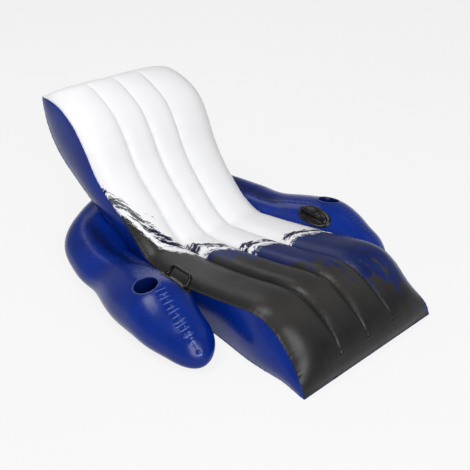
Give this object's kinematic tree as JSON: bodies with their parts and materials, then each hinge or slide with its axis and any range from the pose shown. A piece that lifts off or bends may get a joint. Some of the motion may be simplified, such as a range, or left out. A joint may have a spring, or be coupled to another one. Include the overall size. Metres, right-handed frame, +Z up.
{
  "type": "inflatable pool chair",
  "caption": "Inflatable pool lounge with a quilted reclining seat chamber, a horseshoe arm ring, cup wells, grab handles and push-in air valves.",
  "frame": {"origin": "on the floor, under the middle of the box around the whole lounge", "axes": "+Y from the foot end to the headrest, +Z up, +X to the right of someone who looks at the lounge from its foot"},
  "size_m": [1.2534, 1.6338, 0.6853],
  "materials": {
    "printed_vinyl": "glossy white vinyl sheet with a splashed blue and charcoal print",
    "blue_vinyl": "glossy royal blue vinyl sheet",
    "web_vinyl": "translucent grey vinyl sheet",
    "cup_vinyl": "formed dark blue vinyl",
    "black_vinyl": "moulded black vinyl, satin",
    "clear_vinyl": "moulded clear vinyl, slightly milky"
  },
  "bodies": {
    "body": {"seat_top_sheet": "printed_vinyl", "seat_bottom_sheet": "blue_vinyl", "seat_side_left": "blue_vinyl", "seat_side_right": "blue_vinyl", "seat_baffle_left": "web_vinyl", "seat_baffle_centre": "web_vinyl", "seat_baffle_right": "web_vinyl", "ring_outer_sheet": "blue_vinyl", "ring_inner_sheet": "blue_vinyl", "weld_strip_left": "blue_vinyl", "weld_strip_right": "blue_vinyl", "cup_well_left": "cup_vinyl", "cup_well_right": "cup_vinyl", "handle_pad_left": "black_vinyl", "handle_pad_right": "black_vinyl", "handle_grip_left": "black_vinyl", "handle_grip_right": "black_vinyl", "seat_valve_flange": "clear_vinyl", "ring_valve_flange": "clear_vinyl"},
    "seat_valve_neck": {"seat_valve_neck": "clear_vinyl"},
    "seat_valve_cap": {"seat_valve_cap": "clear_vinyl"},
    "seat_valve_flap": {"seat_valve_flap": "clear_vinyl"},
    "ring_valve_neck": {"ring_valve_neck": "clear_vinyl"},
    "ring_valve_cap": {"ring_valve_cap": "clear_vinyl"},
    "ring_valve_flap": {"ring_valve_flap": "clear_vinyl"}
  },
  "joints": [
    {"name": "seat_neck_slide", "type": "slide", "parent": "body", "child": "seat_valve_neck", "axis": [0.9993, -0.0278, -0.0257], "range_m": [0, 0.012]},
    {"name": "seat_cap_hinge", "type": "hinge", "parent": "seat_valve_neck", "child": "seat_valve_cap", "pos_m": [0.35465, 0.56807, 0.45354], "axis": [-0.0278, -0.9996, 0], "range_deg": [0, 135]},
    {"name": "seat_flap_hinge", "type": "hinge", "parent": "seat_valve_neck", "child": "seat_valve_flap", "pos_m": [0.32277, 0.56896, 0.45066], "axis": [0.0278, 0.9996, 0], "range_deg": [0, 60], "stiffness_Nm_per_rad": 0.0005},
    {"name": "ring_neck_slide", "type": "slide", "parent": "body", "child": "ring_valve_neck", "axis": [0.1545, 0.9701, 0.187], "range_m": [0, 0.012]},
    {"name": "ring_cap_hinge", "type": "hinge", "parent": "ring_valve_neck", "child": "ring_valve_cap", "pos_m": [0.07688, 0.70171, 0.15336], "axis": [0.9876, -0.1572, 0], "range_deg": [0, 135]},
    {"name": "ring_flap_hinge", "type": "hinge", "parent": "ring_valve_neck", "child": "ring_valve_flap", "pos_m": [0.07208, 0.67154, 0.14378], "axis": [-0.9876, 0.1572, 0], "range_deg": [0, 60], "stiffness_Nm_per_rad": 0.0005}
  ]
}
